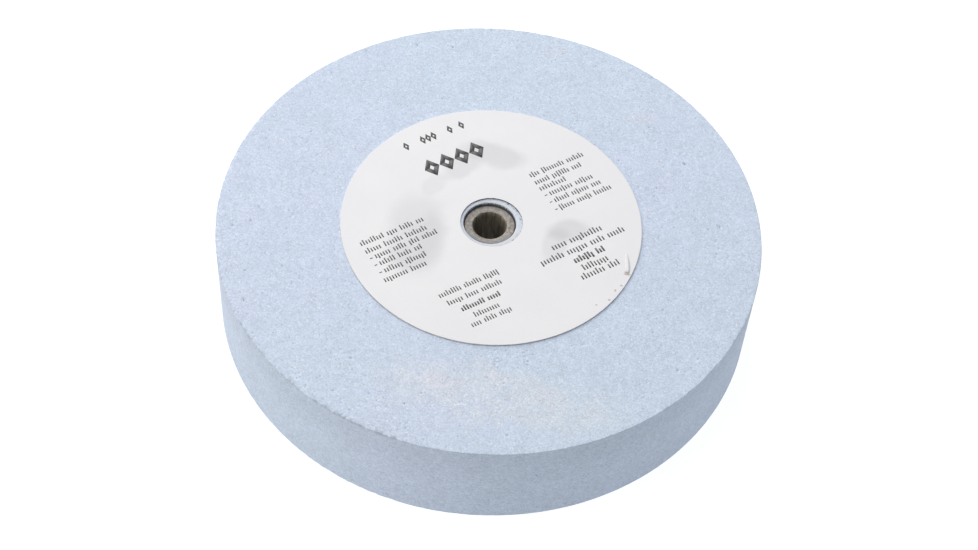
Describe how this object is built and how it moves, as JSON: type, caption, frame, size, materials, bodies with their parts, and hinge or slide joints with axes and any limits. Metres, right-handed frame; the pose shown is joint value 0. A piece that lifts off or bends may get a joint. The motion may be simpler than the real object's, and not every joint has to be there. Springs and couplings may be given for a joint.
{
  "type": "wet grinding wheel",
  "caption": "Thick round grinding stone for a slow wet sharpener, with a recessed steel arbor bush and a paper label glued to each face.",
  "frame": {"origin": "on the wheel's axis at the outer face of the rear label, the face that the wheel lies on", "axes": "+Z along the wheel's axis, out of the printed front face; +X to the right and +Y away as the printed face is seen from the front"},
  "size_m": [0.2, 0.2, 0.041],
  "materials": {
    "bonded_stone": "open, fine-grained bonded abrasive, matt",
    "bush_steel": "sawn and dulled bare steel",
    "cement": "dark, rough cement",
    "label_paper": "matt blotting paper, printed in grey on the front",
    "glue": "dried paste, matt"
  },
  "bodies": {
    "root": {"grinding_stone": "bonded_stone", "arbor_bush": "bush_steel", "bush_cement": "cement", "front_label": "label_paper", "front_glue_film": "glue", "rear_label": "label_paper", "rear_glue_film": "glue"}
  },
  "joints": []
}
